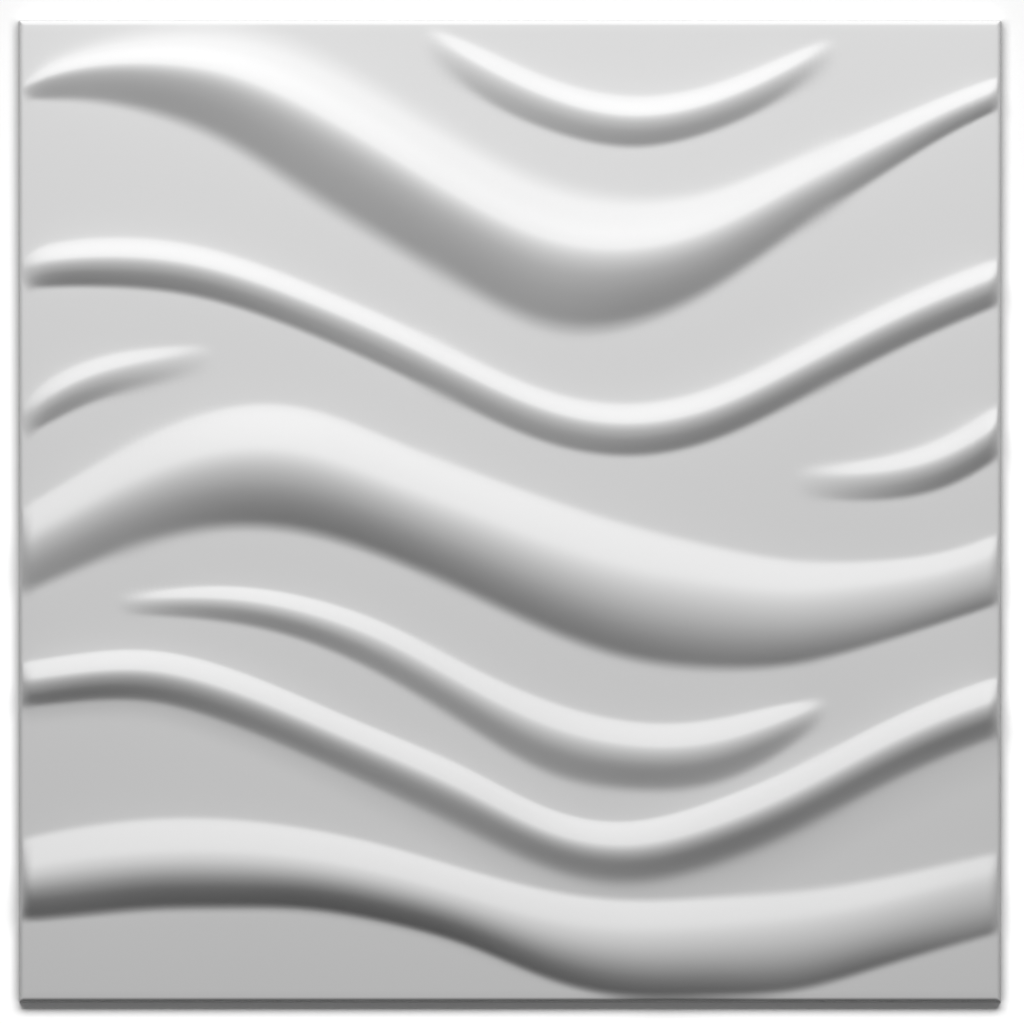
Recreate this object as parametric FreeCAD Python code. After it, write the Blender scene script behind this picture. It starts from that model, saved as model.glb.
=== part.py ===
import math
import os

import FreeCAD
import Part
from FreeCAD import Vector

os.makedirs("parts", exist_ok=True)

# Outline, edges and sheet of the tile, in millimetres
tile_side = 500.0
ground_height = 6.0
sheet_thickness = 1.0
edge_radius = 3.0
end_roll_start = 4.0

# How the wave bodies reach into the flat ground, and how far apart their sections stand
foot_sink = 0.3
root_depth = 4.0
section_step = 15.0

# Sections of the waves, from the upper foot to the lower foot: share of the width, share of the height

# Narrow wave: a low start, a quick rise to the crest and a lower flank that steepens
bead_section = [
    (0.00, 0.00), (0.10, 0.18), (0.22, 0.54), (0.32, 0.88), (0.41, 1.00),
    (0.52, 0.96), (0.66, 0.78), (0.82, 0.44), (1.00, 0.00),
]

# Narrow wave with a steep lower flank and a short run-out below it
lipped_section = [
    (0.00, 0.00), (0.08, 0.26), (0.19, 0.64), (0.29, 0.94), (0.36, 1.00),
    (0.46, 0.93), (0.58, 0.75), (0.70, 0.45), (0.81, 0.16), (1.00, 0.00),
]

# The same wave at its right end, where the run-out is long
long_lipped_section = [
    (0.00, 0.00), (0.06, 0.25), (0.15, 0.64), (0.23, 0.94), (0.29, 1.00),
    (0.37, 0.94), (0.46, 0.78), (0.57, 0.46), (0.70, 0.15), (1.00, 0.00),
]

# Middling wave with a steep upper flank
crested_section = [
    (0.00, 0.00), (0.08, 0.22), (0.20, 0.60), (0.31, 0.92), (0.39, 1.00),
    (0.49, 0.98), (0.60, 0.86), (0.72, 0.62), (0.86, 0.30), (1.00, 0.00),
]

# Broad wave: steep upper flank, round crest
broad_section = [
    (0.00, 0.00), (0.08, 0.22), (0.20, 0.57), (0.32, 0.88), (0.43, 1.00),
    (0.54, 0.95), (0.66, 0.79), (0.78, 0.54), (0.90, 0.25), (1.00, 0.00),
]

# Broad wave with its crest in the middle
full_section = [
    (0.00, 0.00), (0.08, 0.21), (0.22, 0.56), (0.35, 0.86), (0.48, 1.00),
    (0.60, 0.96), (0.72, 0.77), (0.82, 0.52), (0.92, 0.24), (1.00, 0.00),
]

# Broad wave where it is low and evenly rounded
round_section = [
    (0.00, 0.00), (0.06, 0.18), (0.17, 0.54), (0.27, 0.82), (0.39, 0.97),
    (0.52, 1.00), (0.64, 0.93), (0.76, 0.75), (0.88, 0.44), (1.00, 0.00),
]

# Largest wave at its left end, with a gentle ramp before its upper flank
ramped_swell_section = [
    (0.00, 0.00), (0.09, 0.09), (0.19, 0.20), (0.27, 0.51), (0.34, 0.83),
    (0.42, 1.00), (0.52, 0.94), (0.66, 0.70), (0.82, 0.37), (1.00, 0.00),
]

# Largest wave at its right end, without the ramp
swell_section = [
    (0.00, 0.00), (0.07, 0.15), (0.17, 0.44), (0.27, 0.72), (0.36, 0.93),
    (0.45, 1.00), (0.57, 0.95), (0.71, 0.73), (0.83, 0.46), (1.00, 0.00),
]

# The nine waves from the top of the tile to the bottom: section at the left end, section at the
# right end, and stations. A station has its place along the tile, its upper foot line, its lower
# foot line and its height over the ground. A wave that ends inside the tile dips under the ground.
waves = [
    (ramped_swell_section, swell_section, [
        (-250, 217, 209, -0.6), (-241, 225, 209, 3.5), (-222, 235, 209, 7), (-184, 244, 203, 11.5),
        (-143, 245, 187, 15.5), (-102, 233, 161, 18), (-61, 210, 136, 18.5), (-20, 185, 112, 18.5),
        (20, 166, 94, 18), (61, 158, 95, 17), (103, 163, 113, 13), (144, 179, 141, 9.5),
        (185, 196, 168, 7), (226, 213, 193, 5.5), (262, 226, 210, 4.5),
    ]),
    (bead_section, bead_section, [
        (-46, 251, 233, -0.6), (-20, 239, 213, 4.6), (21, 220, 193, 7.2), (62, 211, 185, 8),
        (103, 217, 193, 7), (144, 234, 213, 4), (168, 245, 230, -0.6),
    ]),
    (bead_section, bead_section, [
        (-250, 128, 112, -0.6), (-242, 133, 113, 4.2), (-228, 137, 114, 7.4), (-205, 139, 114, 8.2),
        (-164, 136, 110, 8.2), (-102, 116, 90, 7.2), (-41, 89, 62, 7.2), (21, 61, 34, 7.5),
        (62, 55, 28, 8), (103, 63, 36, 8.4), (144, 82, 55, 8.2), (205, 112, 86, 7.8),
        (262, 134, 110, 7),
    ]),
    (bead_section, bead_section, [
        (-250, 53, 35, -0.6), (-242, 61, 40, 3.8), (-222, 74, 51, 6.2), (-184, 84, 63, 3.4),
        (-146, 88, 72, -0.6),
    ]),
    (bead_section, bead_section, [
        (140, 25, 6, -0.6), (185, 28, 5, 4.4), (226, 41, 14, 7.5), (262, 65, 37, 8),
    ]),
    (broad_section, round_section, [
        (-262, -7, -49, 8), (-225, 15, -32, 10.5), (-184, 38, -16, 13), (-143, 52, -8, 16),
        (-102, 51, -11, 17), (-61, 36, -24, 16), (-20, 20, -42, 15.5), (21, 5, -61, 16),
        (62, -8, -75, 15.5), (103, -18, -80, 13.2), (144, -25, -78, 11), (185, -25, -68, 8),
        (226, -19, -55, 6.6), (262, -5, -43, 6),
    ]),
    (crested_section, crested_section, [
        (-204, -42, -54, -0.6), (-184, -40, -54, 1.7), (-143, -38, -57, 4.7), (-102, -44, -67, 6),
        (-61, -58, -86, 6.5), (-20, -79, -111, 7.5), (21, -97, -134, 8.8), (62, -107, -142, 9),
        (103, -106, -139, 8.8), (144, -97, -119, 4.6), (162, -94, -106, -0.6),
    ]),
    (lipped_section, long_lipped_section, [
        (-262, -79, -106, 6), (-235, -75, -103, 8.3), (-184, -71, -102, 9.3), (-143, -80, -114, 9.3),
        (-82, -105, -141, 9), (-20, -132, -172, 9.8), (21, -152, -191, 10.2), (62, -158, -199, 10.8),
        (103, -148, -191, 11.8), (144, -131, -175, 11.3), (185, -110, -154, 10.4),
        (226, -92, -135, 10.4), (262, -80, -122, 9.5),
    ]),
    (full_section, round_section, [
        (-262, -170, -209, 10.5), (-225, -162, -206, 11.5), (-184, -157, -202, 12.5),
        (-143, -157, -201, 12.5), (-102, -162, -202, 11.8), (-61, -171, -209, 11),
        (-20, -183, -221, 10.5), (21, -193, -238, 11), (62, -197, -247, 11), (103, -196, -247, 10.5),
        (144, -193, -244, 9.5), (185, -187, -233, 8.4), (226, -178, -221, 6.6), (262, -170, -211, 5.8),
    ]),
]

# The waves roll down to the side edges round a radius that clears the tallest of them
tallest = max(station[3] for left, right, stations in waves for station in stations)
end_roll_radius = ground_height + tallest + 1 - end_roll_start


def smooth_line(places, *values):
    """Curve through values given at places along the tile; its parameter is the place itself."""
    line = Part.BSplineCurve()
    line.interpolate(Points=[Vector(*point) for point in zip(places, *values)], Parameters=places)
    return line


def blended_section(left, right, right_part):
    """Section between those of the wave's two ends; its points are matched one to one."""
    pairs = zip(left, right)
    return [(a[0] + (b[0] - a[0]) * right_part, a[1] + (b[1] - a[1]) * right_part) for a, b in pairs]


def wave_section(place, feet, crest, section, inset):
    """Closed outline of the wave at one place along the tile, its face moved inwards by the inset."""
    upper, lower = feet.value(place)[1:]
    height = crest.value(place).y
    face = []
    for share, rise in section:
        across = upper + (lower - upper) * share
        level = ground_height - foot_sink + (height + foot_sink) * rise
        face.append(Vector(place, across, level))
    drift = feet.value(place + 1) - feet.value(place)
    slanted_inset = inset * math.hypot(1, (drift.y + drift.z) / 2)
    moved = []
    for index, point in enumerate(face):
        before = face[max(index - 1, 0)]
        after = face[min(index + 1, len(face) - 1)]
        along = (after - before).normalize()
        moved.append(point + Vector(0, -along.z, along.y) * slanted_inset)
    root = ground_height - root_depth
    below = [Vector(place, moved[-1].y, root), Vector(place, moved[0].y, root)]
    return Part.makePolygon(moved + below + moved[:1])


def wave_body(left, right, stations, inset):
    """Solid of one wave: its sections lofted along the tile on smooth rails."""
    places, uppers, lowers, heights = zip(*stations)
    feet = smooth_line(places, uppers, lowers)
    crest = smooth_line(places, heights, heights)
    reach = places[-1] - places[0]
    count = math.ceil(reach / section_step)
    outlines = []
    for number in range(count + 1):
        section = blended_section(left, right, number / count)
        outlines.append(wave_section(places[0] + reach * number / count, feet, crest, section, inset))
    return Part.makeLoft(outlines, True)


def rounded_bar(half_width, bottom, shoulder, radius, length):
    """Bar along Y; above the shoulder level its two upper edges are rounded."""
    centre = half_width - radius
    crown = shoulder + radius
    reach = radius * math.sqrt(0.5)
    right_arc = Part.Arc(
        Vector(half_width, 0, shoulder),
        Vector(centre + reach, 0, shoulder + reach),
        Vector(centre, 0, crown))
    left_arc = Part.Arc(
        Vector(-centre, 0, crown),
        Vector(-centre - reach, 0, shoulder + reach),
        Vector(-half_width, 0, shoulder))
    base = Part.makePolygon([
        Vector(-half_width, 0, shoulder), Vector(-half_width, 0, bottom),
        Vector(half_width, 0, bottom), Vector(half_width, 0, shoulder)])
    top = Part.makeLine(Vector(centre, 0, crown), Vector(-centre, 0, crown))
    face = Part.Face(Part.Wire(base.Edges + [right_arc.toShape(), top, left_arc.toShape()]))
    face.translate(Vector(0, -length / 2, 0))
    return face.extrude(Vector(0, length, 0))


def tile_body(inset, bottom):
    """Closed body under the front surface, with all its walls moved inwards by the inset."""
    half = tile_side / 2 - inset
    bar = rounded_bar(half, bottom, ground_height - edge_radius, edge_radius - inset, tile_side)
    cross_bar = bar.copy()
    cross_bar.rotate(Vector(0, 0, 0), Vector(0, 0, 1), 90)
    ground = bar.common(cross_bar)
    pillow = rounded_bar(half, bottom, end_roll_start, end_roll_radius - inset, 2 * half)
    bodies = [wave_body(left, right, stations, inset).common(pillow) for left, right, stations in waves]
    return ground.fuse(bodies)


panel = tile_body(0, 0).cut(tile_body(sheet_thickness, -1)).Solids[0]
panel.exportStep("parts/wall_panel.step")
print("valid", panel.isValid(), "faces", len(panel.Faces), "volume", round(panel.Volume))
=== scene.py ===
# %% [markdown]
# # A wall panel tile with raised waves
#
# The real object is one square of thin white plastic sheet, heated and drawn over a mould.
# Nine waves stand out of its flat ground, and the four edges are folded back into a short rim.
# The tile lies on its back, its relief up, and the camera looks straight down on it.
# Everything is one piece, so the lesson makes one mesh and its material, and then the floor,
# the light and the camera.

# %% Load the fixed frame
import math

import bpy
import numpy as np
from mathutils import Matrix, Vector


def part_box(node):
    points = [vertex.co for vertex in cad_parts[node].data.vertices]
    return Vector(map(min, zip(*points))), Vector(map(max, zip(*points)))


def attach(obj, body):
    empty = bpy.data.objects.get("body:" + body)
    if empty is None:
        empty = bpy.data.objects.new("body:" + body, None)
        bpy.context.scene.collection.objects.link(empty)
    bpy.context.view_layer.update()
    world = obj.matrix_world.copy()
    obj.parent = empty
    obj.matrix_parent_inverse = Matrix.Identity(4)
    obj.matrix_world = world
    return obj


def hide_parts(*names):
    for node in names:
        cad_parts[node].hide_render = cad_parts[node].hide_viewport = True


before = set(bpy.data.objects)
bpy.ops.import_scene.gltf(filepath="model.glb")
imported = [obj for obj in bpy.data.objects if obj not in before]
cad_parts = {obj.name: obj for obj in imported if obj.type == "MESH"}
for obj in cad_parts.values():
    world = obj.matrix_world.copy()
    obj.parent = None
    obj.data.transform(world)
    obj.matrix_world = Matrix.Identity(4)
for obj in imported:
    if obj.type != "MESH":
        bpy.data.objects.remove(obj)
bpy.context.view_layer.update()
low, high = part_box("wall_panel")
MM = 0.001
print("tile from the frame, mm:", [round((b - a) / MM, 1) for a, b in zip(low, high)])

# %% [markdown]
# ## The sizes
#
# Lengths are in millimetres and become metres only when the mesh is made.
# The side of the square comes from the frame. The other sizes are those of the moulding:
# how deep the rim is folded, how thick the sheet is, and how round its edges are.
# A sheet comes off its mould only if the walls lean, so the rim widens a little towards the
# wall plane. Seen from above that lean is the thin dark line round the tile.
# The waves stop just inside the side edges and roll down there over a few millimetres.
# Their feet lie a little under the ground, so that no wave leaves a step where it meets it.

# %% Sizes of the moulding
SIDE = round((high.x - low.x) / MM, 1)
HALF = SIDE / 2
GROUND = 6.0
SHEET = 1.0
RIM_DRAFT = 0.6
SHOULDER = HALF - RIM_DRAFT
EDGE_RADIUS = 2.5
ROUND_START = SHOULDER - EDGE_RADIUS
END_ROLL_START = 1.5
END_ROLL = 7.0
FOOT_SINK = 0.3
print("half side", HALF, "ground at", GROUND, "sheet", SHEET, "rim leans out by", RIM_DRAFT)

# %% [markdown]
# ## The sections of the waves
#
# Each wave is a hump with its own section, from the upper foot to the lower foot. Most rise
# quickly and fall more slowly. The narrow ones have a tight crest, some of them with a run-out
# below it, and the broad ones a round crest. The largest starts with a ramp at its left end.
# A section is a few pairs: share of the width, share of the height. A wave may change from
# one section at its left end to another at its right end.

# %% Nine sections
BEAD = [
    (0.00, 0.00), (0.10, 0.18), (0.22, 0.54), (0.32, 0.88), (0.41, 1.00),
    (0.52, 0.96), (0.66, 0.78), (0.82, 0.44), (1.00, 0.00),
]
LIPPED = [
    (0.00, 0.00), (0.08, 0.26), (0.19, 0.64), (0.29, 0.94), (0.36, 1.00),
    (0.46, 0.93), (0.58, 0.75), (0.70, 0.45), (0.81, 0.16), (1.00, 0.00),
]
LIPPED_LONG = [
    (0.00, 0.00), (0.06, 0.25), (0.15, 0.64), (0.23, 0.94), (0.29, 1.00),
    (0.37, 0.94), (0.46, 0.78), (0.57, 0.46), (0.70, 0.15), (1.00, 0.00),
]
CREST = [
    (0.00, 0.00), (0.08, 0.22), (0.20, 0.60), (0.31, 0.92), (0.39, 1.00),
    (0.49, 0.98), (0.60, 0.86), (0.72, 0.62), (0.86, 0.30), (1.00, 0.00),
]
BROAD = [
    (0.00, 0.00), (0.08, 0.22), (0.20, 0.57), (0.32, 0.88), (0.43, 1.00),
    (0.54, 0.95), (0.66, 0.79), (0.78, 0.54), (0.90, 0.25), (1.00, 0.00),
]
FULL = [
    (0.00, 0.00), (0.08, 0.21), (0.22, 0.56), (0.35, 0.86), (0.48, 1.00),
    (0.60, 0.96), (0.72, 0.77), (0.82, 0.52), (0.92, 0.24), (1.00, 0.00),
]
ROUND = [
    (0.00, 0.00), (0.06, 0.18), (0.17, 0.54), (0.27, 0.82), (0.39, 0.97),
    (0.52, 1.00), (0.64, 0.93), (0.76, 0.75), (0.88, 0.44), (1.00, 0.00),
]
SWELL_RAMPED = [
    (0.00, 0.00), (0.09, 0.09), (0.19, 0.20), (0.27, 0.51), (0.34, 0.83),
    (0.42, 1.00), (0.52, 0.94), (0.66, 0.70), (0.82, 0.37), (1.00, 0.00),
]
SWELL = [
    (0.00, 0.00), (0.07, 0.15), (0.17, 0.44), (0.27, 0.72), (0.36, 0.93),
    (0.45, 1.00), (0.57, 0.95), (0.71, 0.73), (0.83, 0.46), (1.00, 0.00),
]
print("the bead section has", len(BEAD), "pairs, the broad one", len(BROAD))

# %% [markdown]
# ## Easing a section
#
# A few pairs make a polygon. Its corners are eased by averaging, as a sheet drawn over a mould
# eases them. For that the section is written out as a table at many shares of the width. The
# table runs straight on past both feet, so that the averaging doesn't pull the feet inwards.

# %% Ease the corners
EASE = 0.22
TABLE_MARGIN = 0.5
TABLE_PLACES = 2001
SHARES = np.linspace(-TABLE_MARGIN, 1 + TABLE_MARGIN, TABLE_PLACES)


def averaged(values, width, axis, mode):
    """Values averaged along one axis with a bell-shaped window, so many places wide."""
    window = np.hanning(width)
    window = window / window.sum()
    return np.apply_along_axis(lambda line: np.convolve(line, window, mode), axis, values)


def eased_rises(section):
    """Rise of a section at each of the SHARES, its corners rounded over the share EASE."""
    known, rises = np.array(section).T
    start = rises[0] + (SHARES - known[0]) * (rises[1] - rises[0]) / (known[1] - known[0])
    end = rises[-1] + (SHARES - known[-1]) * (rises[-1] - rises[-2]) / (known[-1] - known[-2])
    polygon = np.interp(SHARES, known, rises)
    polygon = np.where(SHARES < 0, start, np.where(SHARES > 1, end, polygon))
    reach = int(EASE / 2 / (SHARES[1] - SHARES[0]))
    padded = np.pad(polygon, reach, mode="reflect", reflect_type="odd")
    return averaged(padded, 2 * reach + 1, 0, "valid")


for name, section in (("bead", BEAD), ("lipped", LIPPED), ("broad", BROAD), ("swell", SWELL)):
    top_share = float(SHARES[eased_rises(section).argmax()])
    print(name, "section: crest at", round(top_share, 2), "of the width")

# %% [markdown]
# ## The lines of the waves
#
# A wave is laid out by stations along the tile: the place, its upper foot line, its lower foot
# line and its height there. Smooth curves run through the stations. Where a wave ends inside
# the tile its height goes just under the ground, so it fades out instead of stopping.

# %% Stations of the nine waves, from the top of the tile to the bottom
WAVES = [
    (SWELL_RAMPED, SWELL, [
        (-250, 217, 209, -0.6), (-241, 225, 209, 3.5), (-222, 235, 209, 7), (-184, 244, 203, 11.5),
        (-143, 245, 187, 15.5), (-102, 233, 161, 18), (-61, 210, 136, 18.5), (-20, 185, 112, 18.5),
        (20, 166, 94, 18), (61, 158, 95, 17), (103, 163, 113, 13), (144, 179, 141, 9.5),
        (185, 196, 168, 7), (226, 213, 193, 5.5), (262, 226, 210, 4.5),
    ]),
    (BEAD, BEAD, [
        (-46, 251, 233, -0.6), (-20, 239, 213, 4.6), (21, 220, 193, 7.2), (62, 211, 185, 8),
        (103, 217, 193, 7), (144, 234, 213, 4), (168, 245, 230, -0.6),
    ]),
    (BEAD, BEAD, [
        (-250, 128, 112, -0.6), (-242, 133, 113, 4.2), (-228, 137, 114, 7.4), (-205, 139, 114, 8.2),
        (-164, 136, 110, 8.2), (-102, 116, 90, 7.2), (-41, 89, 62, 7.2), (21, 61, 34, 7.5),
        (62, 55, 28, 8), (103, 63, 36, 8.4), (144, 82, 55, 8.2), (205, 112, 86, 7.8),
        (262, 134, 110, 7),
    ]),
    (BEAD, BEAD, [
        (-250, 53, 35, -0.6), (-242, 61, 40, 3.8), (-222, 74, 51, 6.2), (-184, 84, 63, 3.4),
        (-146, 88, 72, -0.6),
    ]),
    (BEAD, BEAD, [
        (140, 25, 6, -0.6), (185, 28, 5, 4.4), (226, 41, 14, 7.5), (262, 65, 37, 8),
    ]),
    (BROAD, ROUND, [
        (-262, -7, -49, 8), (-225, 15, -32, 10.5), (-184, 38, -16, 13), (-143, 52, -8, 16),
        (-102, 51, -11, 17), (-61, 36, -24, 16), (-20, 20, -42, 15.5), (21, 5, -61, 16),
        (62, -8, -75, 15.5), (103, -18, -80, 13.2), (144, -25, -78, 11), (185, -25, -68, 8),
        (226, -19, -55, 6.6), (262, -5, -43, 6),
    ]),
    (CREST, CREST, [
        (-204, -42, -54, -0.6), (-184, -40, -54, 1.7), (-143, -38, -57, 4.7), (-102, -44, -67, 6),
        (-61, -58, -86, 6.5), (-20, -79, -111, 7.5), (21, -97, -134, 8.8), (62, -107, -142, 9),
        (103, -106, -139, 8.8), (144, -97, -119, 4.6), (162, -94, -106, -0.6),
    ]),
    (LIPPED, LIPPED_LONG, [
        (-262, -79, -106, 6), (-235, -75, -103, 8.3), (-184, -71, -102, 9.3), (-143, -80, -114, 9.3),
        (-82, -105, -141, 9), (-20, -132, -172, 9.8), (21, -152, -191, 10.2), (62, -158, -199, 10.8),
        (103, -148, -191, 11.8), (144, -131, -175, 11.3), (185, -110, -154, 10.4),
        (226, -92, -135, 10.4), (262, -80, -122, 9.5),
    ]),
    (FULL, ROUND, [
        (-262, -170, -209, 10.5), (-225, -162, -206, 11.5), (-184, -157, -202, 12.5),
        (-143, -157, -201, 12.5), (-102, -162, -202, 11.8), (-61, -171, -209, 11),
        (-20, -183, -221, 10.5), (21, -193, -238, 11), (62, -197, -247, 11), (103, -196, -247, 10.5),
        (144, -193, -244, 9.5), (185, -187, -233, 8.4), (226, -178, -221, 6.6), (262, -170, -211, 5.8),
    ]),
]


tallest = max(station[3] for left, right, stations in WAVES for station in stations)
print(len(WAVES), "waves, the tallest", tallest, "mm over the ground")

# %% A smooth curve through stations
def smooth_line(places, values, at):
    """Values at other places, on a cubic curve with free ends through the stations."""
    places = np.array(places, float)
    values = np.array(values, float)
    gaps = np.diff(places)
    slopes = np.diff(values) / gaps
    count = len(places)
    system = np.eye(count)
    wanted = np.zeros(count)
    for k in range(1, count - 1):
        system[k, k - 1:k + 2] = gaps[k - 1], 2 * (gaps[k - 1] + gaps[k]), gaps[k]
        wanted[k] = 6 * (slopes[k] - slopes[k - 1])
    bend = np.linalg.solve(system, wanted)
    k = np.clip(np.searchsorted(places, at) - 1, 0, count - 2)
    before = (places[k + 1] - at) / gaps[k]
    after = 1 - before
    curved = ((before**3 - before) * bend[k] + (after**3 - after) * bend[k + 1]) * gaps[k]**2 / 6
    return before * values[k] + after * values[k + 1] + curved


places, uppers, lowers, heights = zip(*WAVES[0][2])
halfway = float(smooth_line(places, heights, 0.0))
print("the largest wave is", round(halfway, 2), "mm high halfway along the tile")

# %% [markdown]
# ## One height for every place
#
# The front is a height over the plan. The ground is flat and rolls over at the four edges.
# At the left and right edges the waves sink into the ground along a quarter of an ellipse.
# Where a wave meets the ground, a soft maximum gives the hollow fillet that a stretched sheet
# leaves there. It is a share of the wave's height and a little wider at the lower foot, so that
# the shade below a wave fades out instead of stopping.

# %% Heights of the front
UPPER_FILLET = 0.15
LOWER_FILLET = 0.18
SMALLEST_CREST = 0.05


def soft_max(first, second, reach):
    """The larger of two heights, with a fillet where they differ by less than the reach."""
    near = np.maximum(reach - np.abs(first - second), 0)
    return np.maximum(first, second) + near**2 / (4 * reach)


def rolled_edge(distance, radius):
    """Drop of an edge rounding: the distance is how far a place lies outside the round's start."""
    inside = np.clip(distance, 0, radius)
    return radius - np.sqrt(radius**2 - inside**2)


def front_height(x, y):
    """Height of the front over the wall, for places given as arrays of millimetres."""
    along = rolled_edge(np.abs(x) - ROUND_START, EDGE_RADIUS)
    across = rolled_edge(np.abs(y) - ROUND_START, EDGE_RADIUS)
    height = GROUND - np.maximum(along, across)
    inwards = np.clip((HALF - END_ROLL_START - np.abs(x)) / END_ROLL, 0, 1)
    end_roll = np.sqrt(1 - (1 - inwards)**2)
    for left_section, right_section, stations in WAVES:
        places, uppers, lowers, heights = zip(*stations)
        span = (x > places[0]) & (x < places[-1])
        at = np.clip(x, places[0], places[-1])
        upper = smooth_line(places, uppers, at)
        lower = smooth_line(places, lowers, at)
        crest = (smooth_line(places, heights, at) + FOOT_SINK) * end_roll - FOOT_SINK
        share = (y - upper) / (lower - upper)
        right_part = (at - places[0]) / (places[-1] - places[0])
        left_rise = np.interp(share, SHARES, eased_rises(left_section))
        right_rise = np.interp(share, SHARES, eased_rises(right_section))
        rise = left_rise + (right_rise - left_rise) * right_part
        wave = GROUND - FOOT_SINK + (crest + FOOT_SINK) * rise
        wave = np.where(span & (crest > -FOOT_SINK), wave, 0)
        fillet = UPPER_FILLET + (LOWER_FILLET - UPPER_FILLET) * np.clip(share, 0, 1)
        fillet = fillet * np.clip(crest + FOOT_SINK, SMALLEST_CREST, None)
        height = soft_max(height, wave - np.maximum(along, across), fillet)
    return height


probe = front_height(np.array([0.0]), np.array([-20.0]))
print("height of the front at 0, -20:", round(float(probe[0]), 2))

# %% [markdown]
# ## The grid
#
# The mesh is a grid of columns and rows. Columns crowd at the left and right edges, where the
# sheet rolls over. In each column the rows are shared out by length and by bend, so that they
# gather at feet and crests and follow the waves, and the flat ground spends few of them.
# Averaging over neighbouring columns keeps the lines of rows smooth from one to the next.

# %% Columns
COLUMNS = 201
EDGE_PLACES = 9
ROLL_PLACES = 13
SIDE_ZONE = 15


def edge_places():
    """Places over an edge's round, at even angles from its start to the rim."""
    turn = np.radians(np.linspace(0, 90, EDGE_PLACES))
    return ROUND_START + EDGE_RADIUS * np.sin(turn)


def column_places():
    """Places of the columns: even over the tile, closer on the end roll, by angle on the edge."""
    roll = np.linspace(HALF - SIDE_ZONE, ROUND_START, ROLL_PLACES)[1:-1]
    right = np.concatenate([roll, edge_places()])
    middle = np.linspace(-(HALF - SIDE_ZONE), HALF - SIDE_ZONE, COLUMNS - 2 * len(right))
    return np.concatenate([-right[::-1], middle, right])


x_places = column_places()
print(len(x_places), "columns, the last at", round(float(x_places[-1]), 1), "mm")

# %% Rows
ROWS = 301
FINE_PLACES = 3001
LEAST_WEIGHT = 0.002
ROW_BLUR = 41
COLUMN_BLUR = 13

# A length in millimetres and a bend that count the same when the rows are shared out
ROW_LENGTH = 3.0
ROW_BEND = np.radians(8)


def row_places(columns):
    """Places of the rows in every column, shared out by length and by bend of the front."""
    rim = edge_places()
    fine = np.linspace(rim[0], -rim[0], FINE_PLACES)
    y = np.repeat(fine[None, :], len(columns), axis=0)
    z = front_height(columns[:, None], y)
    length = np.hypot(np.diff(y), np.diff(z))
    slope = np.arctan2(np.diff(z), -np.diff(y))
    bend = np.abs(np.diff(slope, axis=1, prepend=slope[:, :1]))
    weight = averaged(length / ROW_LENGTH + bend / ROW_BEND, ROW_BLUR, 1, "same") + LEAST_WEIGHT
    run = np.concatenate([np.zeros((len(columns), 1)), np.cumsum(weight, axis=1)], axis=1)
    inner_count = ROWS - 2 * (EDGE_PLACES - 1)
    rows = []
    for line in run:
        inner = np.interp(np.linspace(0, line[-1], inner_count), line, fine)
        rows.append(np.concatenate([rim[:0:-1], inner, -rim[1:]]))
    margin = (COLUMN_BLUR // 2, COLUMN_BLUR // 2)
    padded = np.pad(np.array(rows), (margin, (0, 0)), mode="reflect", reflect_type="odd")
    return averaged(padded, COLUMN_BLUR, 0, "valid")


y_places = row_places(x_places)
closest = float(-np.diff(y_places).max())
print(ROWS, "rows in each column, the closest", round(closest, 3), "mm apart")

# %% [markdown]
# ## The sheet
#
# A drawn sheet is the same on its back, sunk by its thickness. The back is taken from the same
# heights, moved against the surface normal, on every second column and row. At the tile's
# four corners two rounds meet, so the points there are drawn in along both directions.
# The rim is a straight leaning wall down to the wall plane, cut off square, so that its end
# shows how thick the sheet is.

# %% Points of the front and the back
NORMAL_STEP = 0.05
RIM_MARGIN = 0.2


def surface_normals(x, y):
    """Unit normals of the front by differences of its height."""
    across = front_height(x + NORMAL_STEP, y) - front_height(x - NORMAL_STEP, y)
    up = front_height(x, y + NORMAL_STEP) - front_height(x, y - NORMAL_STEP)
    span = 2 * NORMAL_STEP
    normals = np.stack([-across / span, -up / span, np.ones_like(up)], axis=-1)
    return normals / np.linalg.norm(normals, axis=-1, keepdims=True)


def front_points():
    """Grid of points on the front: columns, rows, three coordinates."""
    x = np.repeat(x_places[:, None], ROWS, axis=1)
    z = front_height(x_places[:, None], y_places)
    return np.stack([x, y_places, z], axis=-1)


def back_points(front):
    """Coarser grid on the back, the front's points moved into the sheet by its thickness."""
    coarse = front[::2, ::2]
    inner = SHOULDER - SHEET
    widest = SHOULDER - RIM_MARGIN
    x = np.clip(coarse[:, :1, 0], -widest, widest)
    y = np.clip(coarse[..., 1], -widest, widest)
    moved = coarse - surface_normals(x, y) * SHEET
    moved[..., :2] = np.clip(moved[..., :2], -inner, inner)
    plan = coarse[..., :2]
    beyond = np.abs(plan) - ROUND_START
    pulled = np.sign(plan) * (ROUND_START + beyond * (1 - SHEET / EDGE_RADIUS))
    corner = (beyond > 0).all(axis=-1)
    moved[corner, :2] = pulled[corner]
    moved[[0, -1], :, 0] = [[-inner], [inner]]
    moved[:, [0, -1], 1] = [inner, -inner]
    return moved


front = front_points()
back = back_points(front)
print("front reaches", round(float(front[..., 2].max()), 2), "mm over the wall")

# %% [markdown]
# ## From points to one closed mesh
#
# The front and back grids become quads. Round the border, four rings join them: the front's
# edge, the outer foot of the rim, its inner foot and the back's edge.
# The back has half as many points, so the inner wall takes faces with five corners.

# %% Border and faces of a grid
def border(columns, rows):
    """Indices of a grid's border, once round, starting at the first column's first row."""
    left = [(0, row) for row in range(rows)]
    bottom = [(column, rows - 1) for column in range(1, columns)]
    right = [(columns - 1, row) for row in range(rows - 2, -1, -1)]
    top = [(column, 0) for column in range(columns - 2, 0, -1)]
    return [column * rows + row for column, row in left + bottom + right + top]


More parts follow.
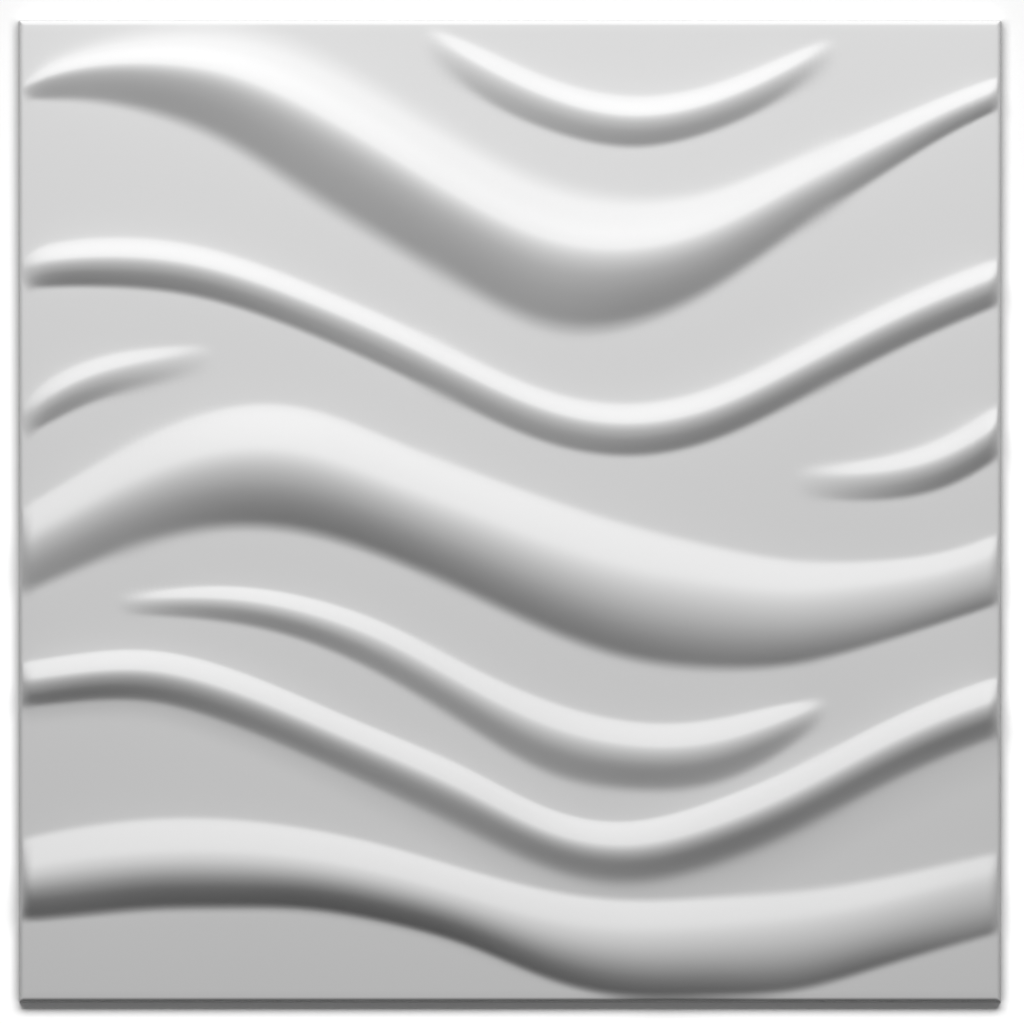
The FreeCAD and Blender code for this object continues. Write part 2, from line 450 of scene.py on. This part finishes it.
def grid_faces(columns, rows, first, flip):
    """Quads of a grid whose points start at the given index."""
    faces = []
    for column in range(columns - 1):
        for row in range(rows - 1):
            corner = first + column * rows + row
            quad = (corner, corner + 1, corner + rows + 1, corner + rows)
            faces.append(quad[::-1] if flip else quad)
    return faces


print("the front's border has", len(border(COLUMNS, ROWS)), "points")

# %% Build the mesh
def sheet_mesh(front, back):
    """Closed mesh of the tile from its two grids of points in millimetres."""
    wide, tall = front.shape[:2]
    thin, short = back.shape[:2]
    top = front.reshape(-1, 3)
    under = back.reshape(-1, 3)
    outer = np.array(border(wide, tall))
    inner = np.array(border(thin, short))
    outer_foot = top[outer] * (HALF / SHOULDER, HALF / SHOULDER, 0)
    inner_foot = outer_foot * (1 - SHEET / HALF)
    points = np.concatenate([top, under, outer_foot, inner_foot])
    first_back = len(top)
    first_outer = first_back + len(under)
    first_inner = first_outer + len(outer)
    faces = grid_faces(wide, tall, 0, False) + grid_faces(thin, short, first_back, True)
    ring = len(outer)
    for k in range(ring):
        after = (k + 1) % ring
        faces.append((int(outer[after]), int(outer[k]), first_outer + k, first_outer + after))
        faces.append((first_outer + after, first_outer + k, first_inner + k, first_inner + after))
    for k in range(0, ring, 2):
        after = (k + 2) % ring
        edge = first_back + int(inner[k // 2])
        next_edge = first_back + int(inner[(k // 2 + 1) % len(inner)])
        faces.append((first_inner + after, first_inner + k + 1, first_inner + k, edge, next_edge))
    mesh = bpy.data.meshes.new("moulded_sheet")
    mesh.from_pydata((points * MM).tolist(), [], faces)
    mesh.validate()
    return mesh


moulded = sheet_mesh(front, back)
print("sheet mesh:", len(moulded.vertices), "points,", len(moulded.polygons), "faces")

# %% [markdown]
# ## The sheet in the frame
#
# The mesh becomes a piece that rides on the tile's one body and stands for its plain solid.
# It is shaded smooth, except where two faces meet at a real corner, as on the rim's cut end.

# %% Place the sheet
SHARP_ANGLE = math.radians(40)

sheet = bpy.data.objects.new("moulded_sheet", moulded)
bpy.context.scene.collection.objects.link(sheet)
sheet.data.shade_smooth()
sheet.data.set_sharp_from_angle(angle=SHARP_ANGLE)
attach(sheet, "root")
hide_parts("wall_panel")
triangles = sum(len(face.vertices) - 2 for face in sheet.data.polygons)
print(sheet.name, "has", triangles, "triangles")

# %% [markdown]
# ## Writing shader sums as sums
#
# A material's nodes are easier to read as arithmetic. The first class wraps a socket, so that
# an expression such as 1 - mask adds the Math nodes itself. The second makes any other node.

# %% A socket that can be calculated with
class Wire:
    """A shader socket whose sums, differences, products and comparisons are Math nodes."""

    def __init__(self, tree, socket):
        self.tree = tree
        self.socket = socket

    def combine(self, operation, first, second):
        maths = self.tree.nodes.new("ShaderNodeMath")
        maths.operation = operation
        for slot, value in zip(maths.inputs, (first, second)):
            plug(self.tree, slot, value)
        return Wire(self.tree, maths.outputs[0])

    def __add__(self, other):
        return self.combine("ADD", self, other)

    def __radd__(self, other):
        return self.combine("ADD", other, self)

    def __sub__(self, other):
        return self.combine("SUBTRACT", self, other)

    def __rsub__(self, other):
        return self.combine("SUBTRACT", other, self)

    def __mul__(self, other):
        return self.combine("MULTIPLY", self, other)

    def __rmul__(self, other):
        return self.combine("MULTIPLY", other, self)

    def __lt__(self, other):
        return self.combine("LESS_THAN", self, other)


def plug(tree, slot, value):
    """Link a wire to a socket, or set the socket to a plain value."""
    if isinstance(value, Wire):
        tree.links.new(value.socket, slot)
    else:
        slot.default_value = value


print("sockets can be added, subtracted, multiplied and compared")

# %% One method for any other node
class Shader:
    """A material's node tree. Sockets that share a name with another are given by number."""

    def __init__(self, name):
        self.material = bpy.data.materials.new(name)
        self.material.use_nodes = True
        self.tree = self.material.node_tree
        self.tree.nodes.clear()

    def add(self, kind, settings=None, numbered=None, **named):
        """Make a node, set its settings, then link or set its sockets."""
        node = self.tree.nodes.new(kind)
        for key, value in (settings or {}).items():
            setattr(node, key, value)
        for number, value in (numbered or {}).items():
            plug(self.tree, node.inputs[number], value)
        for name, value in named.items():
            plug(self.tree, node.inputs[name.replace("_", " ")], value)
        return node

    def wire(self, node, output):
        return Wire(self.tree, node.outputs[output])


print("shader helpers ready")

# %% [markdown]
# ## The satin white sheet
#
# The sheet is white plastic with a satin face: the mould leaves a very fine grain, and the
# heated sheet sets with a faint unevenness that shows only in the sheen.
# The colour drifts a little, the grain is a bump, and the cut end of the rim is rougher.
# The sheen is weak: it only brightens a crest a little where it turns towards the lamp.

# %% Sheet material
SHEET_WHITE = (0.84, 0.84, 0.84, 1)
SHEET_SHADE = (0.81, 0.81, 0.812, 1)
PLASTIC_IOR = 1.5
SHEEN = 0.12
CUT_END_HEIGHT = 0.0003

# Scale, detail and roughness of each noise
DRIFT = (9.0, 3.0, 0.55)
GRAIN = (1400.0, 2.0, 0.6)
RIPPLE = (70.0, 2.0, 0.5)

# How much the noises and the cut end weigh in the colour, the roughness and the bump
DRIFT_TINT = 0.5
GRAIN_TINT = 0.25
SATIN_ROUGHNESS = 0.34
GRAIN_ROUGHNESS = 0.06
DRIFT_ROUGHNESS = 0.04
CUT_ROUGHNESS = 0.25
RIPPLE_HEIGHT = 1.5
BUMP_STRENGTH = 0.35
BUMP_DEPTH = 0.00004


def noise(shader, where, scale, detail, roughness):
    """Noise between 0 and 1; its lumps are about one metre divided by the scale."""
    cloud = shader.add(
        "ShaderNodeTexNoise", Vector=where, Scale=scale, Detail=detail, Roughness=roughness)
    return shader.wire(cloud, "Fac")


def satin_white_sheet():
    """Satin white moulded plastic with fine grain, faint unevenness and a rough cut edge."""
    shader = Shader("satin_white_sheet")
    place = shader.add("ShaderNodeTexCoord")
    where = shader.wire(place, "Object")
    drift = noise(shader, where, *DRIFT)
    fine = noise(shader, where, *GRAIN)
    uneven = noise(shader, where, *RIPPLE)
    tint = drift * DRIFT_TINT + fine * GRAIN_TINT
    colour = shader.add(
        "ShaderNodeMix", {"data_type": "RGBA"}, {6: SHEET_WHITE, 7: SHEET_SHADE}, Factor=tint)
    split = shader.add("ShaderNodeSeparateXYZ", Vector=where)
    cut_end = shader.wire(split, "Z") < CUT_END_HEIGHT
    satin = SATIN_ROUGHNESS + fine * GRAIN_ROUGHNESS + drift * DRIFT_ROUGHNESS
    relief = fine + uneven * RIPPLE_HEIGHT
    bump = shader.add(
        "ShaderNodeBump", Strength=BUMP_STRENGTH, Distance=BUMP_DEPTH, Height=relief)
    skin = shader.add(
        "ShaderNodeBsdfPrincipled",
        Base_Color=shader.wire(colour, 2),
        Roughness=satin + cut_end * CUT_ROUGHNESS,
        IOR=PLASTIC_IOR,
        Specular_IOR_Level=SHEEN,
        Normal=shader.wire(bump, "Normal"))
    shader.add("ShaderNodeOutputMaterial", Surface=shader.wire(skin, 0))
    return shader.material


sheet.data.materials.append(satin_white_sheet())
print("material on the sheet:", sheet.data.materials[0].name)

# %% [markdown]
# ## The floor
#
# The tile lies on a plain pale floor, which bounces soft light back as an ordinary pale grey
# does. The camera sees the floor brighter, just white where nothing shades it. So do mirrored
# rays and rays through glass, because gloss should show the floor that the camera sees. The
# lamp's light falls off away from it, so the floor's shown colour grows down the picture.
# Close to the rim, shade is painted on the floor: it is mixed towards black by how much of the
# sky the tile hides, which gives the soft dark edge at the sides and below. Beyond the top edge,
# where the lamp shines in, this painted shade is left out, so it is clear.

# %% Floor
FLOOR_SIZE = 6
FLOOR_DROP = 0.0002
FLOOR_GREY = 0.8
FLOOR_SHOWN = (1.0, 2.0)
FLOOR_FALL = 0.50
FLOOR_SLOPE = 1.5
FLOOR_GLOW = 0.1
# Painted shade near the rim: how far it reaches, its samples, its strength, and where it stops at the
# top edge
PAINTED_SHADE_REACH = 0.0065
PAINTED_SHADE_SAMPLES = 16
PAINTED_CONTACT_SHADE = 1.4
PAINTED_SHADE_STOP = (0.2490, 0.2515)


def mixed_shader(shader, factor, first, second):
    """Mix Shader of two shader nodes; the factor is a wire or a number."""
    sockets = {0: factor, 1: shader.wire(first, 0), 2: shader.wire(second, 0)}
    return shader.add("ShaderNodeMixShader", None, sockets)


def painted(shader, level):
    """Plain diffuse grey of the given level."""
    return shader.add("ShaderNodeBsdfDiffuse", Color=(level, level, level, 1))


def pale_floor():
    """Floor that keeps the shadow, with painted shade near the rim; the camera sees it just white
    where it is open.
    """
    shader = Shader("pale_floor")
    path = shader.add("ShaderNodeLightPath")
    place = shader.add("ShaderNodeTexCoord")
    split = shader.add("ShaderNodeSeparateXYZ", Vector=shader.wire(place, "Object"))
    up = shader.wire(split, "Y")
    down = FLOOR_FALL - FLOOR_SLOPE * up
    near, far = FLOOR_SHOWN
    lit = mixed_shader(shader, down, painted(shader, near), painted(shader, far))
    # Painted shade: near the rim the floor is mixed towards a black diffuse by the share of sky the
    # tile hides; away is 1 except beyond the top edge, where the painted shade stops
    sky_occlusion = shader.add(
        "ShaderNodeAmbientOcclusion", {"samples": PAINTED_SHADE_SAMPLES}, Distance=PAINTED_SHADE_REACH)
    hidden = 1 - shader.wire(sky_occlusion, "AO")
    edge_start, edge_end = PAINTED_SHADE_STOP
    away = shader.add(
        "ShaderNodeMapRange",
        Value=up, From_Min=edge_start, From_Max=edge_end, To_Min=1.0, To_Max=0.0)
    shade = PAINTED_CONTACT_SHADE * hidden * shader.wire(away, "Result")
    with_painted_shade = mixed_shader(shader, shade, lit, painted(shader, 0.0))
    glow = shader.add("ShaderNodeEmission", Color=(1.0, 1.0, 1.0, 1), Strength=1.0)
    shown = mixed_shader(shader, FLOOR_GLOW, with_painted_shade, glow)
    mirrored = shader.wire(path, "Is Glossy Ray") + shader.wire(path, "Is Transmission Ray")
    seen = shader.wire(path, "Is Camera Ray") + mirrored
    both = mixed_shader(shader, seen, painted(shader, FLOOR_GREY), shown)
    shader.add("ShaderNodeOutputMaterial", Surface=shader.wire(both, 0))
    return shader.material


bpy.ops.mesh.primitive_plane_add(size=FLOOR_SIZE, location=(0, 0, -FLOOR_DROP))
floor = bpy.context.object
floor.name = "floor"
floor.data.materials.append(pale_floor())
print("floor", FLOOR_SIZE, "m square,", round(FLOOR_DROP / MM, 1), "mm under the tile")

# %% [markdown]
# ## The lamp and the room
#
# One wide lamp hangs beyond the top edge, about forty to fifty degrees over the floor, so that
# every upper flank is bright and every lower flank falls into shade. Weak light from all round
# keeps the shade open. The colours are shown as they are, with no film look.

# %% Lamp and world
LAMP_PLACE = (0.0, 1.5, 1.45)
LAMP_SIZE = (2.6, 0.8)
LAMP_POWER = 52
WORLD_LEVEL = 0.03

world = bpy.data.worlds.new("room")
bpy.context.scene.world = world
world.use_nodes = True
world.node_tree.nodes["Background"].inputs["Color"].default_value = (1, 1, 1, 1)
world.node_tree.nodes["Background"].inputs["Strength"].default_value = WORLD_LEVEL

lamp = bpy.data.lights.new("lamp", "AREA")
lamp.shape = "RECTANGLE"
lamp.size, lamp.size_y = LAMP_SIZE
lamp.energy = LAMP_POWER
lamp_object = bpy.data.objects.new("lamp", lamp)
lamp_object.location = LAMP_PLACE
lamp_object.visible_camera = False
aim = -lamp_object.location.normalized()
lamp_object.rotation_euler = aim.to_track_quat("-Z", "Y").to_euler()
bpy.context.scene.collection.objects.link(lamp_object)
bpy.context.scene.view_settings.view_transform = "Standard"
print("lamp", round(lamp_object.location.length, 2), "m from the tile")

# %% [markdown]
# ## The camera
#
# The camera hangs over the tile and looks straight down through a long lens.
# The tile fills nearly the whole frame, a little left of and over its middle.

# %% Camera
CAMERA_DISTANCE = 3.2
PIXELS = 1024
TILE_PIXELS = 983.4
OFFSET_PIXELS = (2, -0.7)

view_width = SIDE * MM * PIXELS / TILE_PIXELS
camera = bpy.data.cameras.new("camera")
camera.lens = camera.sensor_width * CAMERA_DISTANCE / view_width
camera_object = bpy.data.objects.new("camera", camera)
shift = [pixels * view_width / PIXELS for pixels in OFFSET_PIXELS]
camera_object.location = (shift[0], shift[1], GROUND * MM + CAMERA_DISTANCE)
bpy.context.scene.collection.objects.link(camera_object)
bpy.context.scene.camera = camera_object
print("lens", round(camera.lens), "mm, view", round(view_width, 3), "m wide")
